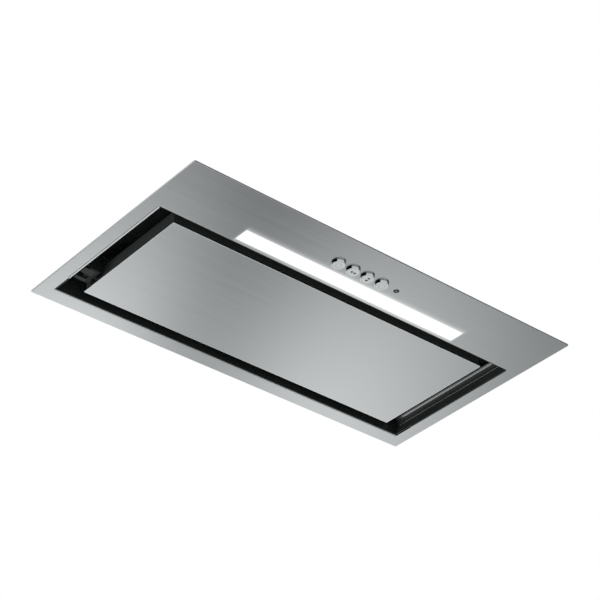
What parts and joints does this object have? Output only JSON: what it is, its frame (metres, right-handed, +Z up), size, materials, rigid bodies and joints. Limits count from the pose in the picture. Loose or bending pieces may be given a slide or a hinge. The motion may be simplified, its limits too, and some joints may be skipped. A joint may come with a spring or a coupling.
{
  "type": "built-in range hood",
  "caption": "Flat built-in range hood with a steel face, perimeter suction panel, LED strip, push buttons, centrifugal blower and round duct collar.",
  "frame": {"origin": "centre of the face frame in the seat plane, where the underside of the cabinet board meets it", "axes": "+X to the right of a person in front of the hood, +Y to the wall behind it, +Z up to the duct"},
  "size_m": [0.52, 0.285, 0.3396],
  "materials": {
    "brushed_stainless": "brushed stainless sheet, grain along X",
    "black_enamel": "gloss black enamel",
    "black_pan": "satin black paint",
    "grey_plastic": "moulded dark grey plastic",
    "black_plastic": "moulded black plastic",
    "zinc_steel": "galvanised sheet with spangle",
    "magnet": "ferrite",
    "filter_aluminium": "mill finish",
    "spring_steel": "bright wire",
    "opal": "opal diffuser, lit from behind",
    "button_steel": "turned and polished steel",
    "board_green": "green solder mask",
    "smoke_lens": "smoked clear plastic",
    "white_plastic": "moulded white plastic",
    "component_blue": "moulded component cases",
    "motor_paint": "black paint",
    "lamination": "stacked steel laminations",
    "bright_steel": "ground steel",
    "rubber_black": "soft rubber",
    "silicone": "translucent silicone rubber",
    "zinc_screw": "zinc plated"
  },
  "bodies": {
    "hood": {"face_frame": "brushed_stainless", "suction_liner": "black_enamel", "hinge_bracket": "black_plastic", "hinge_hanger": "black_plastic", "magnet_holders": "black_plastic", "catch_magnets": "magnet", "filter_frame": "filter_aluminium", "filter_mesh": "filter_aluminium", "latch_spring": "spring_steel", "led_diffuser": "opal", "lamp_housing": "filter_aluminium", "led_board": "white_plastic", "led_driver": "white_plastic", "light_dome": "silicone", "low_speed_dome": "silicone", "mid_speed_dome": "silicone", "high_speed_dome": "silicone", "button_guide": "black_plastic", "control_board": "board_green", "indicator_lens": "smoke_lens", "electronics_box": "black_plastic", "electronics_lid": "black_plastic", "power_board": "board_green", "power_components": "component_blue", "cable_gland": "black_plastic", "gland_nut": "black_plastic", "body_left_side": "zinc_steel", "body_right_side": "zinc_steel", "body_front": "zinc_steel", "body_back": "zinc_steel", "top_plate": "zinc_steel", "filter_deck": "zinc_steel", "mounting_springs": "spring_steel", "scroll_front_half": "black_plastic", "scroll_rear_half": "black_plastic", "motor_stator": "lamination", "motor_front_shell": "motor_paint", "motor_rear_shell": "motor_paint", "motor_bearings": "bright_steel", "motor_bracket": "zinc_steel", "motor_bushes": "rubber_black", "outlet_collar": "black_plastic", "damper_rod": "bright_steel", "pan_screws": "zinc_screw", "motor_screws": "zinc_screw"},
    "panel": {"perimeter_panel": "brushed_stainless", "panel_backing": "black_pan", "panel_ears": "zinc_steel"},
    "lever": {"hinge_lever": "black_plastic"},
    "latch": {"filter_latch": "black_plastic"},
    "light_key": {"light_button": "button_steel"},
    "low_speed_key": {"low_speed_button": "button_steel"},
    "mid_speed_key": {"mid_speed_button": "button_steel"},
    "high_speed_key": {"high_speed_button": "button_steel"},
    "fan_wheel": {"impeller": "black_plastic", "motor_shaft": "bright_steel", "motor_rotor": "lamination"},
    "left_flap": {"left_damper_flap": "grey_plastic"},
    "right_flap": {"right_damper_flap": "grey_plastic"}
  },
  "joints": [
    {"name": "panel_hinge", "type": "hinge", "parent": "hood", "child": "panel", "pos_m": [0, 0.086, 0.006], "axis": [1, 0, 0], "range_deg": [0, 90]},
    {"name": "lever_slide", "type": "slide", "parent": "hood", "child": "lever", "axis": [-1, 0, 0], "range_m": [0, 0.008]},
    {"name": "filter_latch_slide", "type": "slide", "parent": "hood", "child": "latch", "axis": [0, 1, 0], "range_m": [0, 0.004], "stiffness_N_per_m": 400, "springref_m": -0.003, "deforming": ["latch_spring"]},
    {"name": "light_press", "type": "slide", "parent": "hood", "child": "light_key", "axis": [0, 0, 1], "range_m": [0, 0.0015], "stiffness_N_per_m": 500, "springref_m": -0.003, "deforming": ["light_dome"]},
    {"name": "low_speed_press", "type": "slide", "parent": "hood", "child": "low_speed_key", "axis": [0, 0, 1], "range_m": [0, 0.0015], "stiffness_N_per_m": 500, "springref_m": -0.003, "deforming": ["low_speed_dome"]},
    {"name": "mid_speed_press", "type": "slide", "parent": "hood", "child": "mid_speed_key", "axis": [0, 0, 1], "range_m": [0, 0.0015], "stiffness_N_per_m": 500, "springref_m": -0.003, "deforming": ["mid_speed_dome"]},
    {"name": "high_speed_press", "type": "slide", "parent": "hood", "child": "high_speed_key", "axis": [0, 0, 1], "range_m": [0, 0.0015], "stiffness_N_per_m": 500, "springref_m": -0.003, "deforming": ["high_speed_dome"]},
    {"name": "fan_spin", "type": "hinge", "parent": "hood", "child": "fan_wheel", "pos_m": [-0.0778, 0, 0.185], "axis": [0, 1, 0], "continuous": true},
    {"name": "left_flap_hinge", "type": "hinge", "parent": "hood", "child": "left_flap", "pos_m": [0, 0, 0.3027], "axis": [0, 1, 0], "range_deg": [0, 80]},
    {"name": "right_flap_hinge", "type": "hinge", "parent": "hood", "child": "right_flap", "pos_m": [0, 0, 0.3027], "axis": [0, -1, 0], "range_deg": [0, 80]}
  ]
}
